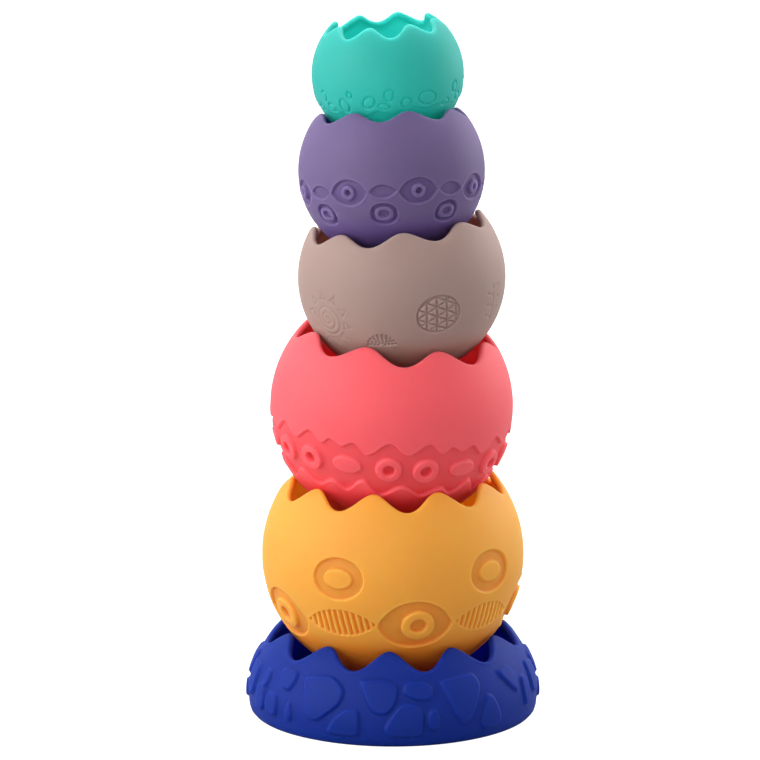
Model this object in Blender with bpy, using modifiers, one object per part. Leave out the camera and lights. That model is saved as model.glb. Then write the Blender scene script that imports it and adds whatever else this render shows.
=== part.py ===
"""Stacking cup tower: six soft open-topped cups, each balanced on the wavy rim of the one below.

Units are metres, +Z is up, +X is to the viewer's right and -Y is towards the viewer.
The origin is the centre of the base cup's resting face.
"""

import math

import bmesh
import bpy
from mathutils import Matrix, Vector

# ---------------------------------------------------------------- driving dimensions

SEGMENTS_PER_WAVE = 6     # faces along one wave of a rim
RINGS_ABOVE_WAIST = 3     # bands of faces between the rim and the widest circle
RINGS_BELOW_WAIST = 4     # bands of faces between the widest circle and the flat foot
CORNER_STEPS = 3          # bands of faces round the base cup's lower corner
LIP_SEGMENTS = 2          # faces round each edge of the rim
LIP_ROUNDING = 0.0010     # radius of the two rounded edges of the rim
SEAT_GAP = 0.0004         # air between a cup and the crests it is balanced on
FOOT_SHARE = 0.35         # flat foot's radius as a share of a round cup's radius

# The base cup is a low dome on a flat foot.
BASE_RADIUS = 0.0600
BASE_WAIST_HEIGHT = 0.0083    # height of the widest circle
BASE_DOME_HEIGHT = 0.0457     # from the widest circle to where the dome would close
BASE_SKIRT_HEIGHT = 0.0400    # the same below it, cut short by the foot
BASE_DOME_POWER = 1.9         # 2 is an ellipse; less is a little straighter
BASE_CORNER_RADIUS = 0.0045
BASE_WALL = 0.0030
BASE_CREST_HEIGHT = 0.0369    # rim heights above the resting face
BASE_VALLEY_HEIGHT = 0.0298

# The five upper cups are nearly spheres, opened by a wavy rim.
# radius: of the widest circle;  flatness: height over width of the sphere
# crest, valley: rim's highest and lowest places, in degrees from the cup's own axis
# waves: crests round the rim;  turn: degrees from the front to the nearest crest, to the right
# left, front: lean of the cup's axis in degrees, to the left and towards the front
UPPER_CUPS = {
    "orange_cup": dict(radius=0.0538, flatness=0.97, wall=0.0028, crest=50.3, valley=59.4,
                       waves=10, turn=-10.5, left=0.5, front=-1.2),
    "coral_cup": dict(radius=0.0496, flatness=0.98, wall=0.0028, crest=48.4, valley=57.0,
                      waves=8, turn=-19.0, left=-4.3, front=2.9),
    "taupe_cup": dict(radius=0.0421, flatness=0.97, wall=0.0028, crest=52.9, valley=60.7,
                      waves=8, turn=3.9, left=5.4, front=1.8),
    "purple_cup": dict(radius=0.0376, flatness=0.98, wall=0.0025, crest=48.4, valley=56.0,
                       waves=8, turn=15.3, left=2.3, front=-5.8),
    "teal_cup": dict(radius=0.0306, flatness=0.97, wall=0.0025, crest=41.4, valley=52.2,
                     waves=8, turn=-15.9, left=4.3, front=2.6),
}
BASE_WAVES = 11
BASE_TURN = -2.0

COLOURS = {
    "base_cup": (0.020, 0.050, 0.270),
    "orange_cup": (0.860, 0.400, 0.070),
    "coral_cup": (0.880, 0.100, 0.120),
    "taupe_cup": (0.350, 0.250, 0.210),
    "purple_cup": (0.140, 0.110, 0.260),
    "teal_cup": (0.040, 0.460, 0.370),
}
SILICONE_ROUGHNESS = 0.5


# ---------------------------------------------------------------- shapes of revolution

class Dome:
    """Outer surface above the widest circle: radius as a function of height."""

    def __init__(self, radius, waist, rise, power):
        self.radius = radius
        self.waist = waist
        self.rise = rise
        self.power = power

    def radius_at(self, height):
        share = min(abs(height - self.waist) / self.rise, 1.0)
        return self.radius * (1.0 - share ** self.power) ** (1.0 / self.power)

    def normal_at(self, height):
        """Outward unit normal as (outward, upward)."""
        out = (self.radius_at(height) / self.radius) ** (self.power - 1.0) / self.radius
        up = ((height - self.waist) / self.rise) ** (self.power - 1.0) / self.rise
        length = math.hypot(out, up)
        return out / length, up / length


def spread(first, last, steps):
    """steps + 1 evenly spaced values from first to last."""
    return [first + (last - first) * i / steps for i in range(steps + 1)]


def dome_profile(dome, rim_height):
    """(radius, height) from the rim down to the widest circle, evenly spaced by angle."""
    top = math.asin((rim_height - dome.waist) / dome.rise)
    heights = [dome.waist + dome.rise * math.sin(a) for a in spread(top, 0.0, RINGS_ABOVE_WAIST)]
    return [(dome.radius_at(h), h) for h in heights]


def round_cup_profile(cup, dome, rim_height):
    """Profile of an upper cup: dome, lower half of the sphere and flat foot."""
    radius = cup["radius"]
    rise = radius * cup["flatness"]
    foot = math.acos(FOOT_SHARE)
    points = dome_profile(dome, rim_height)
    for angle in spread(0.0, foot, RINGS_BELOW_WAIST)[1:]:
        points.append((radius * math.cos(angle), -rise * math.sin(angle)))
    points.append((0.0, points[-1][1]))
    return points


def base_cup_profile(dome, rim_height):
    """Profile of the base cup: dome, short skirt, rounded corner and flat foot."""
    skirt = Dome(BASE_RADIUS, BASE_WAIST_HEIGHT, BASE_SKIRT_HEIGHT, BASE_DOME_POWER)
    corner_centre = skirt.radius_at(BASE_CORNER_RADIUS) - BASE_CORNER_RADIUS
    points = dome_profile(dome, rim_height)
    for angle in spread(0.0, math.pi / 2, CORNER_STEPS):
        out = corner_centre + BASE_CORNER_RADIUS * math.cos(angle)
        points.append((out, BASE_CORNER_RADIUS * (1.0 - math.sin(angle))))
    points.append((0.0, 0.0))
    return points


# ---------------------------------------------------------------- building one cup

def spin_profile(points, segments):
    """Open surface of revolution about Z, made by spinning the profile."""
    mesh = bmesh.new()
    verts = [mesh.verts.new((out, 0.0, up)) for out, up in points]
    edges = [mesh.edges.new(pair) for pair in zip(verts, verts[1:])]
    bmesh.ops.spin(mesh, geom=verts + edges, cent=(0, 0, 0), axis=(0, 0, 1),
                   angle=2 * math.pi, steps=segments, use_merge=True)
    bmesh.ops.remove_doubles(mesh, verts=mesh.verts[:], dist=1e-6)
    bmesh.ops.recalc_face_normals(mesh, faces=mesh.faces[:])
    return mesh


def wave_rim(mesh, dome, crest_height, valley_height, waves):
    """Slide the dome's vertices along the dome, so that the top edge follows the wave."""
    middle = (crest_height + valley_height) / 2
    swing = (crest_height - valley_height) / 2
    for vert in mesh.verts:
        if vert.co.z <= dome.waist + 1e-6:
            continue
        around = math.atan2(vert.co.y, vert.co.x)
        rim = middle + swing * math.cos(waves * around)
        share = (vert.co.z - dome.waist) / (middle - dome.waist)
        height = dome.waist + share * (rim - dome.waist)
        radius = dome.radius_at(height)
        vert.co = (radius * math.cos(around), radius * math.sin(around), height)


def silicone(name, colour):
    material = bpy.data.materials.new(name)
    material.use_nodes = True
    shader = material.node_tree.nodes["Principled BSDF"]
    shader.inputs["Base Color"].default_value = (*colour, 1.0)
    shader.inputs["Roughness"].default_value = SILICONE_ROUGHNESS
    shader.inputs["Metallic"].default_value = 0.0
    material.diffuse_color = (*colour, 1.0)
    return material


def make_cup(name, collection, mesh, wall):
    """Turn an open surface into a moulded cup with a real wall and a rounded lip."""
    data = bpy.data.meshes.new(name)
    mesh.to_mesh(data)
    mesh.free()
    data.shade_smooth()
    cup = bpy.data.objects.new(name, data)
    collection.objects.link(cup)
    data.materials.append(silicone(name + "_silicone", COLOURS[name]))

    shell = cup.modifiers.new("wall", "SOLIDIFY")
    shell.thickness = wall
    shell.offset = -1.0
    shell.use_even_offset = True

    lip = cup.modifiers.new("lip", "BEVEL")
    lip.width = LIP_ROUNDING
    lip.segments = LIP_SEGMENTS
    lip.limit_method = "ANGLE"
    lip.angle_limit = math.radians(60)
    return cup


def inner_crest(dome, crest_height, wall):
    """(radius, height) of the rim's inner edge at a crest, where the next cup rests."""
    out, up = dome.normal_at(crest_height)
    return dome.radius_at(crest_height) - wall * out, crest_height - wall * up


def seat_height(edge, radius, flatness):
    """Height of a round cup's centre above the lower cup's centre when it sits on the edge."""
    reach = radius + SEAT_GAP
    return edge[1] + flatness * math.sqrt(reach ** 2 - edge[0] ** 2)


# ---------------------------------------------------------------- the tower

def build_base(collection):
    """The base cup; returns its place and the edge that the next cup rests on."""
    dome = Dome(BASE_RADIUS, BASE_WAIST_HEIGHT, BASE_DOME_HEIGHT, BASE_DOME_POWER)
    profile = base_cup_profile(dome, (BASE_CREST_HEIGHT + BASE_VALLEY_HEIGHT) / 2)
    mesh = spin_profile(profile, BASE_WAVES * SEGMENTS_PER_WAVE)
    wave_rim(mesh, dome, BASE_CREST_HEIGHT, BASE_VALLEY_HEIGHT, BASE_WAVES)
    cup = make_cup("base_cup", collection, mesh, BASE_WALL)
    place(cup, Vector((0, 0, 0)), 0.0, 0.0, BASE_TURN)
    return Vector((0, 0, 0)), Vector((0, 0, 1)), inner_crest(dome, BASE_CREST_HEIGHT, BASE_WALL)


def place(cup, centre, left, front, turn):
    """Put a cup's centre in place, lean its axis and turn a crest to its angle from the front."""
    cup.rotation_mode = "ZYX"
    quarter = -90.0
    cup.rotation_euler = (math.radians(front), math.radians(-left), math.radians(quarter + turn))
    cup.location = centre


def build_upper_cup(name, collection, centre):
    """One round cup at its centre; returns the cup's axis and the edge the next cup rests on."""
    cup = UPPER_CUPS[name]
    rise = cup["radius"] * cup["flatness"]
    dome = Dome(cup["radius"], 0.0, rise, 2.0)
    crest = rise * math.cos(math.radians(cup["crest"]))
    valley = rise * math.cos(math.radians(cup["valley"]))
    profile = round_cup_profile(cup, dome, (crest + valley) / 2)
    mesh = spin_profile(profile, cup["waves"] * SEGMENTS_PER_WAVE)
    wave_rim(mesh, dome, crest, valley, cup["waves"])
    made = make_cup(name, collection, mesh, cup["wall"])
    place(made, centre, cup["left"], cup["front"], cup["turn"])
    lean = Matrix.Rotation(math.radians(cup["front"]), 3, "X")
    axis = lean @ Matrix.Rotation(math.radians(-cup["left"]), 3, "Y") @ Vector((0, 0, 1))
    return axis, inner_crest(dome, crest, cup["wall"])


def main():
    for thing in list(bpy.data.objects):
        bpy.data.objects.remove(thing, do_unlink=True)
    tower = bpy.data.collections.new("stacking_cup_tower")
    bpy.context.scene.collection.children.link(tower)

    centre, axis, edge = build_base(tower)
    for name, cup in UPPER_CUPS.items():
        centre = centre + axis * seat_height(edge, cup["radius"], cup["flatness"])
        axis, edge = build_upper_cup(name, tower, centre)


main()
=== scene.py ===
"""Stacking cup tower: finished surfaces, silicone materials, camera and light.

Six moulded silicone cups stand on each other's wavy rims. Each one is a closed shell built from
its profile: outer wall with the moulded relief, round lip that follows the wave, and inner wall.
Metres, +Z up, +X to the viewer's right, -Y towards the viewer, as in the frame. Azimuths run from
the front to the right, and a place on a round cup is given in degrees from the cup's top.
"""

import math

import bpy
import numpy as np
from mathutils import Matrix, Vector


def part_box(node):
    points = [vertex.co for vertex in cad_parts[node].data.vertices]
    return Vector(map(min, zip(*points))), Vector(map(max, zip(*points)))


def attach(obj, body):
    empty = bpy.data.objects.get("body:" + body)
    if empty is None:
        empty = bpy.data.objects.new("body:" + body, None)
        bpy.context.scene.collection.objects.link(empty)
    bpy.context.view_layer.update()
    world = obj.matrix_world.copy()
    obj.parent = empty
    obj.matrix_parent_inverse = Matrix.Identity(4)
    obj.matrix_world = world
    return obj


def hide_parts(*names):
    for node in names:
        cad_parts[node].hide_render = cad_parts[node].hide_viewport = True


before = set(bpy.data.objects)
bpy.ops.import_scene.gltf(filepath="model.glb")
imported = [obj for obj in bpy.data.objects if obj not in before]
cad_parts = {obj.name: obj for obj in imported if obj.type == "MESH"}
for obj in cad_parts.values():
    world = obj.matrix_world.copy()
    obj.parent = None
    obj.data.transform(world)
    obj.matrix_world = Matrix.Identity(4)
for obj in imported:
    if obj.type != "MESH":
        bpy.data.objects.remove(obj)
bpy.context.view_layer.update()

MM = 0.001

# ---------------------------------------------------------------- driving dimensions, as in the CAD

SEAT_GAP = 0.4 * MM           # air between a cup and the crests it is balanced on
FOOT_SHARE = 0.35             # flat foot's radius as a share of a round cup's radius
FOOT_BLEND = 1.2 * MM         # how softly the round wall turns into the flat foot
INNER_FOOT_BLEND = 2.0 * MM

BASE_RADIUS = 60.0 * MM
BASE_WAIST_HEIGHT = 8.3 * MM
BASE_DOME_HEIGHT = 45.7 * MM
BASE_SKIRT_HEIGHT = 40.0 * MM
BASE_DOME_POWER = 1.9
BASE_CORNER_RADIUS = 3.0 * MM  # a little tighter than the CAD's
BASE_WALL = 3.0 * MM
BASE_INNER_CORNER_RADIUS = 2 * BASE_CORNER_RADIUS
BASE_CREST_HEIGHT = 36.9 * MM
BASE_VALLEY_HEIGHT = 29.8 * MM
BASE_WAVES = 11
BASE_TURN = -2.0

UPPER_CUPS = {
    "orange_cup": dict(radius=53.8 * MM, flatness=0.97, wall=2.8 * MM, crest=50.3, valley=59.4,
                       waves=10, turn=-10.5, left=0.5, front=-1.2),
    "coral_cup": dict(radius=49.6 * MM, flatness=0.98, wall=2.8 * MM, crest=48.4, valley=57.0,
                      waves=8, turn=-19.0, left=-4.3, front=2.9),
    "taupe_cup": dict(radius=42.1 * MM, flatness=0.97, wall=2.8 * MM, crest=52.9, valley=60.7,
                      waves=8, turn=3.9, left=5.4, front=1.8),
    "purple_cup": dict(radius=37.6 * MM, flatness=0.98, wall=2.5 * MM, crest=48.4, valley=56.0,
                       waves=8, turn=15.3, left=2.3, front=-5.8),
    "teal_cup": dict(radius=30.6 * MM, flatness=0.97, wall=2.5 * MM, crest=41.4, valley=52.2,
                     waves=8, turn=-15.9, left=4.3, front=2.6),
}

# ---------------------------------------------------------------- mesh fineness

BLOCK = 4                     # a coarse face is this many fine faces wide
BLOCKS_AROUND = 248           # coarse faces round a cup
FINE_ROW = 0.28 * MM          # between rows where there is relief
PLAIN_ROW = 1.5 * MM          # between rows where the wall is smooth
INNER_ROW = 2.0 * MM
LIP_ROWS = 8
PAINTED_INNER_LIGHT_ROWS = 2               # inner rows over which the inner wall's painted light sets in
SEEN_BEND = 0.009             # change of slope, in mm of height a row, that earns fine faces
END_GAP = 0.6 * MM            # from the last row to the middle of a foot, where the rows meet


# ---------------------------------------------------------------- profiles

def soft_max(a, b, blend):
    return (a + b + np.sqrt((a - b) ** 2 + blend ** 2)) / 2


class Profile:
    """A wall's outline in (radius, height), by the distance along it below the widest circle."""

    def __init__(self, points):
        points = np.array(points)
        steps = np.hypot(*np.diff(points, axis=0).T)
        along = np.concatenate([[0.0], np.cumsum(steps)])
        widest = int(np.argmax(points[:, 0]))
        self.along = along - along[widest]
        self.points = points
        slope = np.gradient(points, self.along, axis=0)
        slope /= np.hypot(slope[:, 0], slope[:, 1])[:, None]
        self.outward = np.stack([-slope[:, 1], slope[:, 0]], axis=1)
        self.end = self.along[-1]

    def at(self, along):
        """radius, height, and the outward normal's two parts"""
        read = [np.interp(along, self.along, values)
                for values in (*self.points.T, *self.outward.T)]
        length = np.hypot(read[2], read[3])
        return read[0], read[1], read[2] / length, read[3] / length

    def along_at(self, height):
        """distance along the outline of a height"""
        return np.interp(-height, -self.points[:, 1], self.along)


def round_profile(radius, rise, foot_height, blend):
    """Nearly a sphere, with a flat foot."""
    angle = np.linspace(0.0, math.pi, 1500)
    height = soft_max(rise * np.cos(angle), -foot_height, blend)
    return Profile(np.stack([radius * np.sin(angle), height], axis=1))


def super_radius(height, radius, waist, rise, power):
    """A superellipse's radius at a height."""
    share = np.clip(np.abs(height - waist) / rise, 0.0, 1.0)
    return radius * (1.0 - share ** power) ** (1.0 / power)


def base_profile(shrink, corner):
    """Low dome, short skirt, round corner and flat foot, moved inward by shrink."""
    radius = BASE_RADIUS - shrink
    top = BASE_WAIST_HEIGHT + (BASE_DOME_HEIGHT - shrink) * np.sin(np.linspace(math.pi / 2, 0.0, 900))
    dome = super_radius(top, radius, BASE_WAIST_HEIGHT, BASE_DOME_HEIGHT - shrink, BASE_DOME_POWER)

    def skirt(height):
        return super_radius(height, radius, BASE_WAIST_HEIGHT, BASE_SKIRT_HEIGHT, BASE_DOME_POWER)

    lean = 0.0
    probe = 0.01 * MM
    for _ in range(8):
        meet = shrink + corner * (1.0 - math.sin(lean))
        lean = math.atan((skirt(meet + probe) - skirt(meet)) / probe)
    side = np.linspace(BASE_WAIST_HEIGHT, meet, 120)[1:]
    turn = np.linspace(lean, math.pi / 2, 120)[1:]
    centre = skirt(meet) - corner * math.cos(lean)
    flat = np.linspace(centre, 0.0, 300)[1:]
    out = np.concatenate([dome, skirt(side), centre + corner * np.cos(turn), flat])
    up = np.concatenate([top, side, shrink + corner * (1.0 - np.sin(turn)), np.full(flat.shape, shrink)])
    return Profile(np.stack([out, up], axis=1))


# ---------------------------------------------------------------- one cup's mesh

def rows_between(start, stop, spacing, multiple=1):
    """Row places from start, left out, to stop."""
    count = multiple * max(1, int(math.ceil((stop - start) / spacing / multiple)))
    return np.linspace(start, stop, count + 1)[1:]


def eased_step(share):
    """0 up to a share of 0, 1 from a share of 1, and a smooth rise between."""
    share = np.clip(share, 0.0, 1.0)
    return share * share * (3.0 - 2.0 * share)


def surface(profile, around, along, lift=0.0):
    """Points on a wall at azimuth (from the front, to the right) and distance along its outline."""
    out, up, n_out, n_up = profile.at(along)
    out = out + n_out * lift
    up = up + n_up * lift
    return np.stack([out * np.sin(around), -out * np.cos(around), up], axis=-1)


def unit(vectors):
    return vectors / np.linalg.norm(vectors, axis=-1, keepdims=True)


def lip_rings(profile, around, rim, wall):
    """A half-round lip that stays square to the rim's wavy line."""
    _, _, n_out, n_up = profile.at(rim)
    edge = surface(profile, around, rim)
    normal = np.stack([n_out * np.sin(around), -n_out * np.cos(around), n_up], axis=-1)
    tangent = unit(np.roll(edge, -1, axis=0) - np.roll(edge, 1, axis=0))
    off = unit(np.cross(tangent, normal))
    off *= np.sign(off[:, 2:3])
    half = wall / 2
    centre = edge - (normal + off) * half
    return [centre + half * (math.cos(turn) * normal + math.sin(turn) * off)
            for turn in np.linspace(0.0, math.pi, LIP_ROWS + 1)]


def wall_rows(profile, lip_ring, around, rows, level):
    """(azimuths, places along the outline) for each row: they leave the lip square to its wavy line
    and run level from there down."""
    start_around = np.arctan2(lip_ring[:, 0], -lip_ring[:, 1])
    shift = (start_around - around + math.pi) % (2 * math.pi) - math.pi
    start = profile.along_at(lip_ring[:, 2])
    top = float(np.mean(start))
    for row in rows:
        share = min(1.0, (row - top) / (level - top))
        along = start * (1.0 - share) + level * share + max(0.0, row - level)
        yield around + shift * (1.0 - share) ** 2, along


def fine_blocks(heights):
    """For a band of rows: which blocks hold an edge of the relief."""
    rows = heights.shape[0]
    bend = np.zeros_like(heights)
    bend[1:-1] += np.abs(heights[2:] - 2 * heights[1:-1] + heights[:-2])
    bend += np.abs(np.roll(heights, 1, axis=1) - 2 * heights + np.roll(heights, -1, axis=1))
    seen = bend > SEEN_BEND
    seen |= np.roll(seen, 1, axis=1)
    blocks = seen[:-1].reshape(rows // BLOCK, BLOCK, -1, BLOCK).any(axis=(1, 3))
    blocks[1:] |= seen[BLOCK:-1:BLOCK].reshape(len(blocks) - 1, -1, BLOCK).any(axis=2)
    return blocks


def block_faces(cuts, fine, columns):
    """Faces of a grid of blocks. A fine block is divided, and a coarse one next to it takes in
    the points on their shared side, so that the shell has no gaps."""
    faces = []
    last = len(cuts) - 2
    for row in range(len(cuts) - 1):
        low, high = cuts[row], cuts[row + 1]
        for col in range(columns // BLOCK):
            left = col * BLOCK
            right = (left + BLOCK) % columns
            if fine[row][col]:
                for r in range(low, high):
                    for c in range(left, left + BLOCK):
                        d = (c + 1) % columns
                        faces.append((r * columns + c, r * columns + d,
                                      (r + 1) * columns + d, (r + 1) * columns + c))
                continue
            face = [low * columns + left]
            if row > 0 and fine[row - 1][col]:
                face += [low * columns + left + k for k in range(1, BLOCK)]
            face.append(low * columns + right)
            if fine[row][(col + 1) % len(fine[row])]:
                face += [r * columns + right for r in range(low + 1, high)]
            face.append(high * columns + right)
            if row < last and fine[row + 1][col]:
                face += [high * columns + left + k for k in range(BLOCK - 1, 0, -1)]
            face.append(high * columns + left)
            if fine[row][col - 1]:
                face += [r * columns + left for r in range(high - 1, low, -1)]
            faces.append(tuple(face))
    return faces


def cup_mesh(name, outer, inner, wall, rim_height, waves, relief, zone, level, nested):
    """Closed shell of a cup. relief(azimuth, along, radius) gives the moulded height in mm, and
    zone is the band that it covers, along the outline. From level down the rows run level. nested
    is where the cup goes into the one below: where painted shade starts there, and where it is
    darkest. The points carry the relief's height, the share of that painted shade, and the share of
    the inner wall's painted light."""
    columns = BLOCKS_AROUND * BLOCK
    around = np.arange(columns) * 2 * math.pi / columns
    rim = outer.along_at(rim_height(around * waves))
    lip = lip_rings(outer, around, rim, wall)
    top = float(np.mean(outer.along_at(lip[0][:, 2])))
    plain_above = rows_between(top, zone[0], PLAIN_ROW)
    carved = rows_between(zone[0], zone[1], FINE_ROW, BLOCK)
    plain_below = rows_between(zone[1], outer.end - END_GAP, PLAIN_ROW)

    rings, heights, painted_nesting_shade = [], [], []
    for azimuth, along in wall_rows(outer, lip[0], around,
                                    np.concatenate([plain_above, carved, plain_below]), level):
        height = relief(azimuth, along, outer.at(along)[0])
        heights.append(height)
        # share of painted shade, darkest where the cup sits in the cup below
        painted_nesting_shade.append(eased_step((along - nested[0]) / (nested[1] - nested[0])))
        rings.append(surface(outer, azimuth, along, height * MM))
    rings.reverse()
    heights.reverse()
    painted_nesting_shade.reverse()
    start = len(plain_below)
    carved_heights = np.array(heights[start:start + len(carved) + 1])
    cuts = list(range(start)) + list(range(start, start + len(carved), BLOCK))
    fine = [[False] * BLOCKS_AROUND] * start + fine_blocks(carved_heights).tolist()

    inner_top = float(np.mean(inner.along_at(lip[-1][:, 2])))
    inner_rows = rows_between(inner_top, inner.end - END_GAP, INNER_ROW)
    inner_rings = [surface(inner, azimuth, along)
                   for azimuth, along in wall_rows(inner, lip[-1], around, inner_rows, 0.0)]
    plain_from = start + len(carved)
    rings += lip + inner_rings
    cuts += list(range(plain_from, len(rings)))
    fine += [[False] * BLOCKS_AROUND] * (len(cuts) - 1 - len(fine))
    heights += [np.zeros(columns)] * (len(rings) - len(heights))
    painted_nesting_shade += [np.zeros(columns)] * (len(rings) - len(painted_nesting_shade))

    faces = block_faces(cuts, fine, columns)
    outer_middle = len(rings) * columns
    inner_middle = outer_middle + 1
    last = (len(rings) - 1) * columns
    for left in range(0, columns, BLOCK):
        right = (left + BLOCK) % columns
        faces.append((outer_middle, right, left))
        faces.append((inner_middle, last + left, last + right))
    middles = [[0.0, 0.0, outer.at(outer.end)[1]], [0.0, 0.0, inner.at(inner.end)[1]]]
    points = np.concatenate(rings + [middles])
    # share of painted light on the inner wall, which is drawn lighter than the outside
    painted_inner_light = [np.zeros(columns)] * (len(rings) - len(inner_rings))
    painted_inner_light += [np.full(columns, min(1.0, row / PAINTED_INNER_LIGHT_ROWS)) for row in range(1, len(inner_rings) + 1)]
    values = {"relief": np.concatenate(heights + [[0.0, 0.0]]),
              "painted_nesting_shade": np.concatenate(painted_nesting_shade + [[1.0, 0.0]]),
              "painted_inner_light": np.concatenate(painted_inner_light + [[0.0, 1.0]])}

    used = np.unique(np.concatenate([np.array(face) for face in faces]))
    place = np.zeros(len(points), int)
    place[used] = np.arange(len(used))
    data = bpy.data.meshes.new(name)
    data.from_pydata(points[used].tolist(), [], [tuple(place[list(face)]) for face in faces])
    for key, value in values.items():
        data.attributes.new(key, "FLOAT", "POINT").data.foreach_set("value", value[used].astype(np.float32))
    data.shade_smooth()
    return data


# ---------------------------------------------------------------- relief: distances to outlines, in mm

def ellipse(x, y, half_width, half_height):
    """Roughly the distance outside an ellipse; negative inside."""
    near = np.sqrt((x / half_width) ** 2 + (y / half_height) ** 2)
    slope = np.sqrt((x / half_width ** 2) ** 2 + (y / half_height ** 2) ** 2)
    return (near - 1.0) * near / np.maximum(slope, 1e-6)


def rounded(x, y, half_width, half_height, power):
    """Roughly the distance outside a rounded rectangle; negative inside."""
    near = (np.abs(x / half_width) ** power + np.abs(y / half_height) ** power) ** (1 / power)
    return (near - 1.0) * np.hypot(x, y) / np.maximum(near, 1e-6)


def almond(x, y, half_length, half_height):
    """Two arcs that meet in points at the left and right."""
    arc = (half_length ** 2 + half_height ** 2) / (2 * half_height)
    return np.hypot(x, np.abs(y) + arc - half_height) - arc


def stroke(x, y, start, end):
    """Distance from a straight line."""
    dx, dy = end[0] - start[0], end[1] - start[1]
    share = np.clip(((x - start[0]) * dx + (y - start[1]) * dy) / (dx * dx + dy * dy), 0.0, 1.0)
    return np.hypot(x - start[0] - share * dx, y - start[1] - share * dy)


def pebble(x, y, corners, soft):
    """Roughly the distance outside a convex polygon with soft corners; corners run clockwise."""
    total = np.zeros_like(x)
    for (ax, ay), (bx, by) in zip(corners, corners[1:] + corners[:1]):
        length = math.hypot(bx - ax, by - ay)
        off = ((x - ax) * (by - ay) - (y - ay) * (bx - ax)) / length
        total += np.exp(np.clip(off / soft, -40, 40))
    return np.log(total) * soft


def inside(distance, edge):
    """1 inside an outline, 0 outside, with a moulded edge of the given width."""
    return eased_step(0.5 - distance / edge)


def line(distance, width):
    """1 on a thin line, 0 away from it."""
    return np.exp(-(distance / width) ** 2)


def nearest(azimuth, centre, repeats):
    """Angle from the nearest of a motif's evenly spaced copies, in radians."""
    period = 2 * math.pi / repeats
    return (azimuth - math.radians(centre) + period / 2) % period - period / 2


def eased(azimuth, repeats, bends):
    """A smooth wave through its highest and lowest points, given as (degrees, value)."""
    period = 360.0 / repeats
    angle = (np.degrees(azimuth) - bends[0][0]) % period
    value = np.zeros_like(angle)
    for (a, low), (b, high) in zip(bends, bends[1:] + [(bends[0][0] + period, bends[0][1])]):
        here = (angle >= a - bends[0][0]) & (angle < b - bends[0][0])
        share = (angle - (a - bends[0][0])) / (b - a)
        value = np.where(here, low + (high - low) * (1 - np.cos(math.pi * share)) / 2, value)
    return value


# ---------------------------------------------------------------- relief of each cup

OUTLINE_SHARE = 0.985         # a cup's outline is a little shorter than its widest circle


class Wall:
    """Where the points of a row lie on a round cup, and motifs' own coordinates there."""

    def __init__(self, name, azimuth, along, radius):
        self.size = UPPER_CUPS[name]["radius"] / MM
        self.azimuth = azimuth
        self.below = along / MM
        self.radius = radius / MM

    def depth(self, polar):
        """mm along the outline from the widest circle to an angle from the cup's top"""
        return self.size * np.radians(polar - 90.0) * OUTLINE_SHARE

    def at(self, centre, polar, repeats):
        """mm to the right of and below the nearest copy of a motif"""
        return nearest(self.azimuth, centre, repeats) * self.radius, self.below - self.depth(polar)


def eye_and_ring(x, y, half_length, half_height, depth, ring, pupil, ring_x=0.0):
    """A recessed almond with a thin raised outline, and a ring standing in it."""
    outline = almond(x, y, half_length, half_height)
    centre = np.hypot(x - ring_x, y)
    height = -depth * inside(outline, edge=0.6) + 0.14 * line(outline - 0.5, width=0.4)
    height += (depth + 0.4) * inside(centre - ring, edge=0.7) * inside(outline, edge=0.7)
    return height - (depth + 0.7) * inside(centre - pupil, edge=0.7)


def orange_relief(azimuth, along, radius):
    """Dishes with a raised oval above; almond eyes and ribbed leaves below."""
    wall = Wall("orange_cup", azimuth, along, radius)
    x, y = wall.at(centre=-24.7, polar=90.0, repeats=5)
    dish = ellipse(x, y, half_width=10.9, half_height=8.6)
    height = -1.1 * inside(dish, edge=0.8) + 0.08 * line(dish - 0.5, width=0.5)
    height += 1.0 * inside(ellipse(x, y, half_width=6.3, half_height=4.2), edge=1.1)
    x, y = wall.at(centre=10.2, polar=111.6, repeats=5)
    height += eye_and_ring(x, y, half_length=15.4, half_height=11.0, depth=1.15, ring=6.8, pupil=3.2,
                           ring_x=1.0)
    x, y = wall.at(centre=-25.3, polar=110.8, repeats=5)
    lens = almond(x, y, half_length=15.0, half_height=6.1)
    ribs = np.cos((x - 0.06 * y) * 2 * math.pi / 2.6)
    height += inside(lens, edge=0.6) * 0.62 * (np.clip(ribs * 1.8, -1, 1) - 1.0)
    return height + 0.12 * line(lens - 0.45, width=0.4)


def coral_relief(azimuth, along, radius):
    """A sunk band with a dripping upper edge; rings in pairs, ovals, and a raised skirt."""
    wall = Wall("coral_cup", azimuth, along, radius)
    drips = eased(azimuth, 6, [(-11, 101.2), (-0.5, 94.6), (8.5, 99.9), (18.5, 94.3), (25.5, 99.0),
                               (30, 96.0), (36, 98.5), (42, 96.1)])
    upper = (wall.below - wall.depth(drips)) * 0.8
    humps = eased(azimuth, 6, [(-23, 122.8), (-13, 115.8), (-4, 123.8), (8, 117.6), (19, 123.2),
                               (29.5, 118.7)])
    lower = (wall.depth(humps) - wall.below) * 0.8
    height = -1.0 * inside(-upper, edge=0.7) + 0.15 * line(upper + 0.6, width=0.5)
    height += 1.25 * inside(lower, edge=0.8) + 0.15 * line(lower + 0.5, width=0.5)
    for centre in (-0.2, 18.3):
        x, y = wall.at(centre, polar=108.1, repeats=6)
        out = np.hypot(x, y)
        height += 1.6 * inside(out - 5.3, edge=0.8) - 2.4 * inside(out - 2.3, edge=0.7)
    x, y = wall.at(centre=38.8, polar=107.9, repeats=6)
    return height + 1.25 * inside(rounded(x, y, half_width=6.2, half_height=3.7, power=2.0), edge=0.9)


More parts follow.
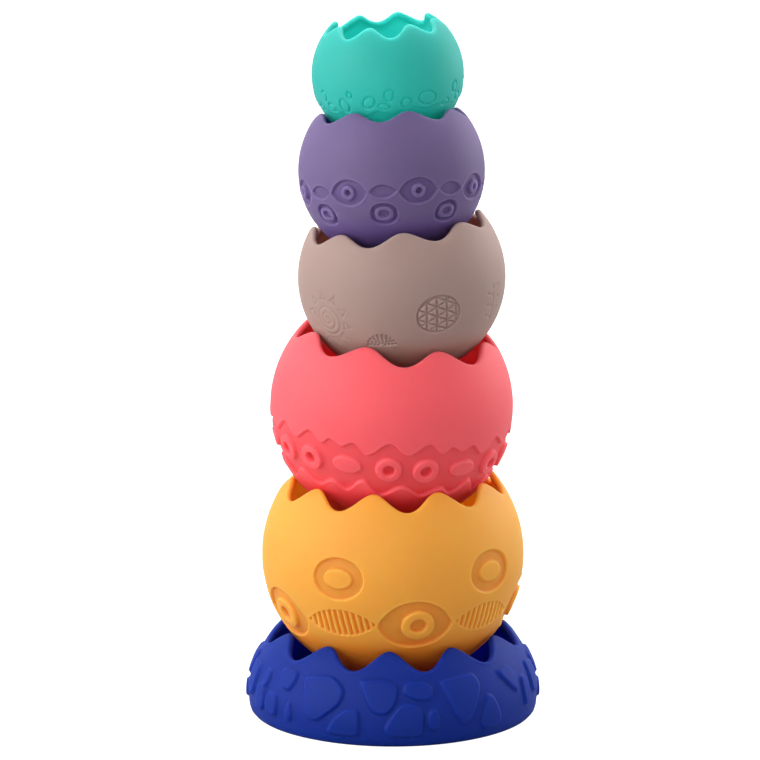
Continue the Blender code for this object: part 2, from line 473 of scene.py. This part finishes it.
def taupe_relief(azimuth, along, radius):
    """Fine engraved drawings: a net in an oval, a coil with rays, a dotted fan, a twig."""
    wall = Wall("taupe_cup", azimuth, along, radius)
    cut = np.full_like(along, 99.0)
    faint = np.full_like(along, 99.0)

    x, y = wall.at(centre=20.0, polar=102.7, repeats=2)
    near = ellipse(x, y, half_width=11.0, half_height=10.0) < 0
    px, py = x[near] / 9.1, y[near] / 7.7
    net = np.abs(np.hypot(px, py) - 1.0)
    mesh_width = 0.46
    for lean in (90.0, 31.0, -31.0):
        a = math.radians(lean)
        across = ((py - 0.1) * math.cos(a) - (px + 0.1) * math.sin(a)) / mesh_width
        strand = np.abs((across + 0.5) % 1.0 - 0.5) * mesh_width
        net = np.minimum(net, np.where(np.hypot(px, py) < 1.0, strand, 9.0))
    cut[near] = np.minimum(cut[near], net * 8.4)

    x, y = wall.at(centre=-48.5, polar=103.0, repeats=2)
    near = np.hypot(x, y) < 15
    px, py = x[near], y[near]
    out, turn = np.hypot(px, py), np.arctan2(py, px)
    pitch = 2.35
    coil = (out - 1.4 - pitch * turn / (2 * math.pi)) % pitch
    coil = np.minimum(coil, pitch - coil) + 9 * (out > 7.2) + 9 * (out < 0.9)
    for a in np.arange(10) * math.pi / 5 + 0.25:
        tip = (11.6 * math.cos(a), 11.6 * math.sin(a))
        feet = [(8.7 * math.cos(a + s), 8.7 * math.sin(a + s)) for s in (-0.19, 0.19)]
        for start, end in ((tip, feet[0]), (tip, feet[1]), (feet[0], feet[1])):
            coil = np.minimum(coil, stroke(px, py, start, end))
    faint[near] = np.minimum(faint[near], coil)

    x, y = wall.at(centre=-15.7, polar=119.6, repeats=2)
    for row, count in ((2.0, 4), (3.8, 6), (5.6, 8), (7.2, 10)):
        for k in range(count):
            a = math.pi * (k + 0.5) / count
            dot = np.hypot(x - row * 0.8 * math.cos(a), y + row * 0.75 * math.sin(a))
            cut = np.minimum(cut, np.maximum(dot - 0.25, 0.0))

    x, y = wall.at(centre=60.5, polar=103.2, repeats=2)
    twig = stroke(x, y, (0.0, -7.0), (0.6, 8.0))
    for k, (side, rise) in enumerate(((1, -6.0), (-1, -3.6), (1, -1.4), (-1, 1.0), (1, 3.4), (-1, 5.6))):
        twig = np.minimum(twig, stroke(x, y, (0.2, rise + 1.4), (side * 2.9, rise)))
        twig = np.minimum(twig, np.maximum(np.hypot(x - side * 4.1, y - rise + 0.2) - 0.35, 0.0))
    faint = np.minimum(faint, twig)
    return -1.0 * line(cut, width=0.34) - 0.32 * line(faint, width=0.36)


PURPLE_EYE = 16.4             # degrees round to a large almond


def purple_relief(azimuth, along, radius):
    """A row of large and small almonds over a row of square rings."""
    wall = Wall("purple_cup", azimuth, along, radius)
    x, y = wall.at(centre=PURPLE_EYE, polar=101.4, repeats=8)
    height = eye_and_ring(x, y, half_length=7.9, half_height=5.2, depth=1.0, ring=2.9, pupil=1.2)
    x, y = wall.at(centre=PURPLE_EYE - 22.5, polar=101.0, repeats=8)
    small = almond(x, y, half_length=5.4, half_height=2.6)
    height += -0.85 * inside(small, edge=0.6) + 0.1 * line(small - 0.5, width=0.4)
    x, y = wall.at(centre=PURPLE_EYE - 22.7, polar=115.9, repeats=8)
    square = rounded(x, y, half_width=5.4, half_height=4.7, power=2.3)
    height += -1.3 * inside(np.abs(square + 0.8) - 0.75, edge=0.6) + 0.08 * line(square - 0.5, width=0.4)
    return height - 1.1 * inside(rounded(x, y, half_width=2.2, half_height=1.65, power=2.2), edge=0.6)


TEAL_DROPS = (
    # degrees round, degrees from the top, half width, half height in mm, tilt in degrees, squareness
    (-15.6, 102.9, 2.9, 2.2, -38, 1.8), (0.2, 98.1, 1.8, 2.3, 8, 2.0), (13.6, 105.1, 2.0, 2.2, 0, 2.0),
    (31.0, 103.0, 3.8, 2.8, 6, 2.2), (-4.4, 106.7, 2.3, 1.1, 14, 1.5), (-31.0, 96.4, 1.0, 1.4, -20, 1.6),
    (-37.0, 105.5, 2.0, 2.9, -25, 2.0), (-52.0, 107.8, 2.2, 1.7, 20, 1.8), (60.8, 99.2, 1.7, 2.2, 10, 2.0),
    (50.5, 109.5, 2.0, 1.3, -12, 1.7),
)


def teal_relief(azimuth, along, radius):
    """Thin engraved outlines of drops and ovals, each slightly raised inside, over a wavy step."""
    wall = Wall("teal_cup", azimuth, along, radius)
    height = np.zeros_like(along)
    for centre, polar, half_width, half_height, tilt, square in TEAL_DROPS:
        x, y = wall.at(centre, polar, repeats=3)
        c, s = math.cos(math.radians(tilt)), math.sin(math.radians(tilt))
        drop = rounded(c * x + s * y, c * y - s * x, half_width, half_height, square)
        height += 0.15 * inside(drop + 0.2, edge=1.0) - 0.8 * line(drop, width=0.34)
    hem = eased(azimuth, 3, [(-48, 113.4), (-40, 110.4), (-24, 114.4), (-8, 110.9), (4, 113.4),
                             (18, 108.7), (32, 111.1), (46, 109.4)])
    return height - 0.3 * inside((wall.depth(hem) - wall.below) * 0.8, edge=0.7)


BASE_STONES = (
    # degrees round, mm above the foot, then the corners, clockwise, in mm right and down
    (-29.9, 18.5, [(-9.5, -6.5), (3.0, -8.5), (9.5, -4.0), (9.0, 1.0), (-1.5, 9.5), (-6.5, 8.0)]),
    (-19.8, 10.6, [(2.5, -5.5), (6.5, -4.5), (6.5, 5.5), (-7.0, 5.5), (-6.0, 2.0), (-1.5, -3.5)]),
    (-56.0, 11.5, [(-2.5, -4.5), (3.0, -4.5), (4.5, 0.0), (3.5, 4.5), (-3.0, 4.5), (-4.5, 0.5)]),
    (-45.1, 11.0, [(0.2, -4.5), (2.2, 1.0), (1.8, 4.0), (-1.5, 4.2), (-2.3, 1.0)]),
    (-48.7, 22.3, [(-4.5, -3.8), (4.5, -3.8), (4.8, 0.0), (2.2, 4.0), (-1.5, 3.5), (-4.8, 0.0)]),
    (-62.5, 20.3, [(-2.2, -3.5), (2.3, -2.5), (1.5, 3.5), (-2.0, 3.0)]),
    (-5.9, 20.4, [(-8.0, -6.0), (3.5, -6.5), (7.5, -4.5), (7.0, 2.5), (3.0, 6.5), (-2.5, 5.5)]),
    (10.0, 22.3, [(-5.0, -3.2), (3.0, -3.8), (6.5, -1.2), (5.5, 2.8), (1.0, 3.4), (-6.0, 0.2)]),
    (4.0, 11.4, [(-1.5, -6.5), (4.5, -6.8), (7.8, -4.0), (7.5, 5.8), (-6.5, 6.2), (-8.0, 3.5)]),
    (15.8, 11.2, [(-1.2, -4.6), (1.6, -4.4), (2.8, 0.2), (2.0, 4.0), (-1.4, 4.2), (-2.8, 0.0)]),
    (28.6, 17.8, [(-8.4, -8.0), (7.0, -9.2), (9.4, -5.0), (3.4, 7.5), (0.0, 10.2), (-3.2, 7.0)]),
    (41.5, 11.4, [(-1.0, -7.2), (2.0, -6.0), (5.6, 4.6), (4.0, 6.2), (-5.0, 6.2), (-5.6, 4.0)]),
    (54.0, 20.8, [(-6.0, -4.6), (3.5, -5.4), (6.2, -2.0), (5.4, 5.4), (2.0, 4.6), (-1.0, 0.5)]),
    (66.0, 14.5, [(-1.8, -6.0), (2.4, -5.6), (3.4, 0.5), (2.2, 5.8), (-2.0, 6.0), (-3.2, 0.0)]),
    (77.5, 17.5, [(-4.0, -7.0), (4.5, -6.0), (5.0, 2.5), (1.5, 7.0), (-4.8, 5.0)]),
    (90.0, 20.5, [(-5.5, -4.0), (4.5, -5.5), (5.8, 1.0), (1.0, 5.5), (-5.0, 3.0)]),
    (90.5, 9.5, [(-3.6, -3.0), (3.6, -3.6), (4.4, 1.5), (1.0, 4.2), (-4.4, 3.2)]),
    (103.5, 17.0, [(-4.5, -7.5), (4.5, -5.5), (4.0, 5.0), (-1.5, 8.0), (-5.0, 2.0)]),
    (115.0, 12.0, [(-2.5, -6.0), (3.0, -5.0), (4.0, 3.5), (0.0, 6.0), (-3.6, 4.0)]),
)
STONE_REACH = 0.26            # radians from a stone's middle to where its outline can still be
BASE_RELIEF_ZONE = (30.5 * MM, 3.0 * MM)    # heights, from its top to its foot
BASE_LEVELLING = 6.0 * MM     # from the zone's top to where the rim's wave is gone from the rows
BASE_GROUND = (3.0 * MM, 32.0 * MM)     # heights between which the ground is sunk
BASE_GROUND_EASE = 4.0 * MM


def base_relief(azimuth, along, radius, height_above):
    """Flat stones, a little proud of the wall, twice round, with the ground between them sunk."""
    height = np.zeros_like(along)
    for centre, level, corners in BASE_STONES:
        angle = nearest(azimuth, centre, repeats=2)
        near = np.abs(angle) < STONE_REACH
        x = angle[near] * radius[near] / MM
        y = (level * MM - height_above[near]) / MM
        stone = pebble(x, y, corners, soft=0.9)
        height[near] += 1.15 * inside(stone - 0.2, edge=1.3)
    ground_below = np.clip((BASE_GROUND[1] - height_above) / BASE_GROUND_EASE, 0.0, 1.0)
    ground_above = np.clip((height_above - BASE_GROUND[0]) / BASE_GROUND_EASE, 0.0, 1.0)
    # the sunk ground is real relief and also takes the painted recess shade, so it looks darker between the
    # stones
    return height - 0.35 * ground_below * ground_above


RELIEFS = {
    # relief, and the band of the outline that it covers, in degrees from the cup's top
    "orange_cup": (orange_relief, 80.0, 125.0),
    "coral_cup": (coral_relief, 92.5, 127.0),
    "taupe_cup": (taupe_relief, 89.0, 121.0),
    "purple_cup": (purple_relief, 91.5, 126.0),
    "teal_cup": (teal_relief, 90.5, 118.5),
}

NESTED = (114.0, 130.0)       # degrees from the top: where painted shade starts on the part of a cup that sits in the cup below, and where it is darkest


# ---------------------------------------------------------------- silicone

# colour; reach: how far light spreads inside the rubber; mirror: how strongly the surface mirrors the
# light, on the shader's own scale; last, the power that paints an inner wall lighter than the outside,
# painted light for the light that gets into the cup
RUBBER = {
    "base_cup": dict(colour=(0.0008, 0.0215, 0.2450), reach=9.0 * MM, mirror=0.16, inner_light_power=0.86),
    "orange_cup": dict(colour=(0.9650, 0.3520, 0.0430), reach=11.0 * MM, mirror=0.28, inner_light_power=0.68),
    "coral_cup": dict(colour=(0.9650, 0.1080, 0.1290), reach=6.0 * MM, mirror=0.30, inner_light_power=0.70),
    "taupe_cup": dict(colour=(0.3600, 0.2500, 0.2190), reach=8.5 * MM, mirror=0.28, inner_light_power=0.92),
    "purple_cup": dict(colour=(0.1450, 0.1010, 0.2320), reach=8.0 * MM, mirror=0.28, inner_light_power=0.95),
    "teal_cup": dict(colour=(0.0200, 0.3640, 0.3200), reach=12.0 * MM, mirror=0.26, inner_light_power=0.66),
}
GRAIN = 0.35 * MM             # the mould's fine sand-blasted texture
GRAIN_DEPTH = 0.05 * MM
BLUSH = 30.0 * MM             # the size of slow changes in the pigment
PAINTED_RECESS_SHADE_DEPTH = -1.6         # mm of recess depth where the painted shade in a recess is darkest


def join(links, start, output, end, socket):
    links.new(start.outputs[output], end.inputs[socket])


def cloud(nodes, links, place, size, detail):
    """Noise of a given size, fixed to the cup."""
    noise = nodes.new("ShaderNodeTexNoise")
    noise.inputs["Scale"].default_value = 1.0 / size
    noise.inputs["Detail"].default_value = detail
    join(links, place, "Object", noise, "Vector")
    return noise


def attribute(nodes, name):
    """Reads one of the values that a cup's points carry."""
    node = nodes.new("ShaderNodeAttribute")
    node.attribute_name = name
    return node


def tinted(nodes, links, under, blend, colour, share, share_output):
    """A colour laid over the colour from under, as far as share says."""
    mix = nodes.new("ShaderNodeMix")
    mix.data_type = "RGBA"
    mix.blend_type = blend
    mix.inputs["B"].default_value = (*colour, 1.0)
    join(links, share, share_output, mix, "Factor")
    links.new(under, mix.inputs["A"])
    return mix.outputs["Result"]


def silicone(name, colour, reach, mirror, inner_light_power):
    """Matt, slightly see-through rubber: soft pigment variation, painted shade in the recesses of its
    relief and where it sits in the cup below, a painted lighter inner wall for light that gets inside,
    and the mould's grain as a bump."""
    material = bpy.data.materials.new(name)
    material.use_nodes = True
    nodes, links = material.node_tree.nodes, material.node_tree.links
    shader = nodes["Principled BSDF"]
    purity = [c / max(colour) for c in colour]
    shader.inputs["Specular IOR Level"].default_value = mirror
    shader.inputs["Sheen Weight"].default_value = 0.01
    shader.inputs["Sheen Roughness"].default_value = 0.45
    shader.inputs["Subsurface Weight"].default_value = 0.8
    shader.inputs["Subsurface Radius"].default_value = tuple(0.35 + 0.65 * c for c in purity)
    shader.inputs["Subsurface Scale"].default_value = reach

    place = nodes.new("ShaderNodeTexCoord")
    blush = cloud(nodes, links, place, BLUSH, 3.0)
    grain = cloud(nodes, links, place, GRAIN, 2.0)

    shade = nodes.new("ShaderNodeValToRGB")
    shade.color_ramp.elements[0].position = 0.3
    shade.color_ramp.elements[0].color = (*(c * 0.97 for c in colour), 1.0)
    shade.color_ramp.elements[1].position = 0.7
    shade.color_ramp.elements[1].color = (*(min(1.0, c * 1.02 + 0.001) for c in colour), 1.0)
    join(links, blush, "Fac", shade, "Fac")

    # painted shade in the recesses: the deeper the relief, the darker and richer the colour
    painted_recess_shade = nodes.new("ShaderNodeMapRange")
    painted_recess_shade.inputs["From Min"].default_value = 0.0
    painted_recess_shade.inputs["From Max"].default_value = PAINTED_RECESS_SHADE_DEPTH
    join(links, attribute(nodes, "relief"), "Fac", painted_recess_shade, "Value")
    tone = tinted(nodes, links, shade.outputs["Color"], "MULTIPLY",
                  [0.55 + 0.45 * c for c in purity], painted_recess_shade, "Result")
    # painted shade where the cup sits in the cup below: darker and richer
    tone = tinted(nodes, links, tone, "MULTIPLY",
                  [0.2 + 0.8 * c ** 0.6 for c in purity], attribute(nodes, "painted_nesting_shade"), "Fac")
    # painted light: the inner wall takes a lighter colour, for light that gets into the cup
    tone = tinted(nodes, links, tone, "MIX",
                  [c ** inner_light_power for c in colour], attribute(nodes, "painted_inner_light"), "Fac")
    links.new(tone, shader.inputs["Base Color"])

    satin = nodes.new("ShaderNodeMapRange")
    satin.inputs["To Min"].default_value = 0.50
    satin.inputs["To Max"].default_value = 0.62
    join(links, blush, "Fac", satin, "Value")
    join(links, satin, "Result", shader, "Roughness")

    bump = nodes.new("ShaderNodeBump")
    bump.inputs["Strength"].default_value = 0.12
    bump.inputs["Distance"].default_value = GRAIN_DEPTH
    join(links, grain, "Fac", bump, "Height")
    join(links, bump, "Normal", shader, "Normal")
    return material


# ---------------------------------------------------------------- the tower

def rim_between(crest, valley):
    """Height of a rim by its wave's phase."""
    return lambda phase: (crest + valley) / 2 + (crest - valley) / 2 * np.cos(phase)


def inner_crest(out, up, n_out, n_up, wall):
    """Radius and height of the inner edge of a crest, where the next cup sits."""
    return out - wall * n_out, up - wall * n_up


def add_piece(name, data, centre, left, front, turn):
    """Sets a cup in its place and in its body; gives the direction of its axis."""
    piece = bpy.data.objects.new(name + "_silicone", data)
    bpy.context.scene.collection.objects.link(piece)
    lean = Matrix.Rotation(math.radians(front), 4, "X") @ Matrix.Rotation(math.radians(-left), 4, "Y")
    piece.matrix_world = Matrix.Translation(centre) @ lean @ Matrix.Rotation(math.radians(turn), 4, "Z")
    data.materials.append(silicone(name + "_silicone", **RUBBER[name]))
    body = name.replace("_cup", "")
    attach(piece, body)
    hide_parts(name)
    return lean.to_3x3() @ Vector((0, 0, 1))


def build_tower():
    """Base cup first, and then each cup where it rests on the crests of the one below."""
    outer = base_profile(0.0, BASE_CORNER_RADIUS)
    inner = base_profile(BASE_WALL, BASE_INNER_CORNER_RADIUS)

    def stones(azimuth, along, radius):
        return base_relief(azimuth + math.radians(BASE_TURN), along, radius, outer.at(along)[1])

    zone = tuple(float(outer.along_at(height)) for height in BASE_RELIEF_ZONE)
    never_nested = (outer.end, outer.end + MM)
    data = cup_mesh("base_cup", outer, inner, BASE_WALL, rim_between(BASE_CREST_HEIGHT, BASE_VALLEY_HEIGHT),
                    BASE_WAVES, stones, zone, zone[0] + BASE_LEVELLING, never_nested)
    centre = Vector((0, 0, 0))
    axis = add_piece("base_cup", data, centre, 0.0, 0.0, BASE_TURN)
    edge = inner_crest(*outer.at(outer.along_at(BASE_CREST_HEIGHT)), BASE_WALL)

    for name, cup in UPPER_CUPS.items():
        radius, rise, wall = cup["radius"], cup["radius"] * cup["flatness"], cup["wall"]
        reach = radius + SEAT_GAP
        centre = centre + axis * float(edge[1] + cup["flatness"] * math.sqrt(reach ** 2 - edge[0] ** 2))
        foot = rise * math.sqrt(1.0 - FOOT_SHARE ** 2)
        outer = round_profile(radius, rise, foot, FOOT_BLEND)
        inner = round_profile(radius - wall, rise - wall, foot - wall, INNER_FOOT_BLEND)
        crest = rise * math.cos(math.radians(cup["crest"]))
        valley = rise * math.cos(math.radians(cup["valley"]))
        relief, first, last = RELIEFS[name]
        turn = math.radians(cup["turn"])

        def turned(azimuth, along, local_radius, relief=relief, turn=turn):
            return relief(azimuth + turn, along, local_radius)

        zone = tuple(radius * math.radians(polar - 90.0) for polar in (first, last))
        nested = tuple(radius * math.radians(polar - 90.0) for polar in NESTED)
        data = cup_mesh(name, outer, inner, wall, rim_between(crest, valley), cup["waves"], turned, zone,
                        zone[0], nested)
        axis = add_piece(name, data, centre, cup["left"], cup["front"], cup["turn"])
        edge = inner_crest(*outer.at(outer.along_at(crest)), wall)


# ---------------------------------------------------------------- camera, floor and light

CAMERA_LENS = 177.6
CAMERA_PLACE = (-0.0053, -1.500, 0.4349)
CAMERA_DIP = 11.18            # degrees below level

ROOM_LIGHT = 0.78             # strength of the light from the white room on the tower
ROOM_SEEN = 1.00              # how bright the room looks to the camera: plain white
TABLE_SEEN = 1.00             # what the table adds to its own light for the camera
TABLE_GREY = 0.34
SOFT_BOXES = (
    # name, azimuth, distance out, height, size across and up in metres, watts
    ("soft_box_left", -60, 1.0, 0.75, (0.8, 0.7), 5.4),
    ("soft_box_low_left", -90, 1.0, 0.35, (0.8, 0.7), 2.3),
    ("soft_box_near_table", -70, 1.2, 0.20, (0.8, 0.35), 1.5),
    ("soft_box_front", -25, 1.6, 0.40, (1.6, 0.5), 4.6),
    ("soft_box_behind", 130, 1.0, 0.50, (0.5, 0.7), 2.0),
    ("soft_box_right", 108, 1.0, 0.34, (0.4, 0.5), 2.0),
    ("soft_box_over_back", 180, 0.6, 1.30, (1.6, 0.8), 17.0),
)


def add_camera():
    data = bpy.data.cameras.new("camera")
    data.lens = CAMERA_LENS
    data.sensor_width = 36.0
    camera = bpy.data.objects.new("camera", data)
    bpy.context.scene.collection.objects.link(camera)
    camera.location = CAMERA_PLACE
    camera.rotation_euler = (math.radians(90 - CAMERA_DIP), 0.0, 0.0)
    bpy.context.scene.camera = camera


def add_soft_box(name, azimuth, out, height, size, power):
    """A rectangle of soft light, turned towards the taupe cup."""
    data = bpy.data.lights.new(name, "AREA")
    data.shape = "RECTANGLE"
    data.size, data.size_y = size
    data.energy = power
    light = bpy.data.objects.new(name, data)
    bpy.context.scene.collection.objects.link(light)
    turn = math.radians(azimuth)
    light.location = (out * math.sin(turn), -out * math.cos(turn), height)
    aim = Vector((0, 0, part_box("taupe_cup")[0].z))
    light.rotation_euler = (aim - light.location).to_track_quat("-Z", "Y").to_euler()


def seen_white(nodes, links, strength, lit, seen):
    """Gives a shader one strength for the light that it throws and another for how bright it looks."""
    path = nodes.new("ShaderNodeLightPath")
    choice = nodes.new("ShaderNodeMapRange")
    choice.inputs["To Min"].default_value = lit
    choice.inputs["To Max"].default_value = seen
    links.new(path.outputs["Is Camera Ray"], choice.inputs["Value"])
    links.new(choice.outputs["Result"], strength)


def add_stage():
    """White table, white room and soft boxes: strongest from the left and from above and behind."""
    bpy.context.scene.view_settings.view_transform = "Standard"
    bpy.ops.mesh.primitive_plane_add(size=12.0, location=(0, 0, 0))
    floor = bpy.context.object
    floor.name = "floor"
    material = bpy.data.materials.new("white_table")
    material.use_nodes = True
    nodes, links = material.node_tree.nodes, material.node_tree.links
    shader = nodes["Principled BSDF"]
    shader.inputs["Base Color"].default_value = (TABLE_GREY, TABLE_GREY, TABLE_GREY, 1)
    shader.inputs["Roughness"].default_value = 0.9
    shader.inputs["Specular IOR Level"].default_value = 0.1
    shader.inputs["Emission Color"].default_value = (1, 1, 1, 1)
    seen_white(nodes, links, shader.inputs["Emission Strength"], 0.0, TABLE_SEEN)
    floor.data.materials.append(material)
    world = bpy.data.worlds.new("studio")
    bpy.context.scene.world = world
    world.use_nodes = True
    nodes, links = world.node_tree.nodes, world.node_tree.links
    nodes["Background"].inputs["Color"].default_value = (1, 1, 1, 1)
    seen_white(nodes, links, nodes["Background"].inputs["Strength"], ROOM_LIGHT, ROOM_SEEN)
    for box in SOFT_BOXES:
        add_soft_box(*box)


build_tower()
add_camera()
add_stage()
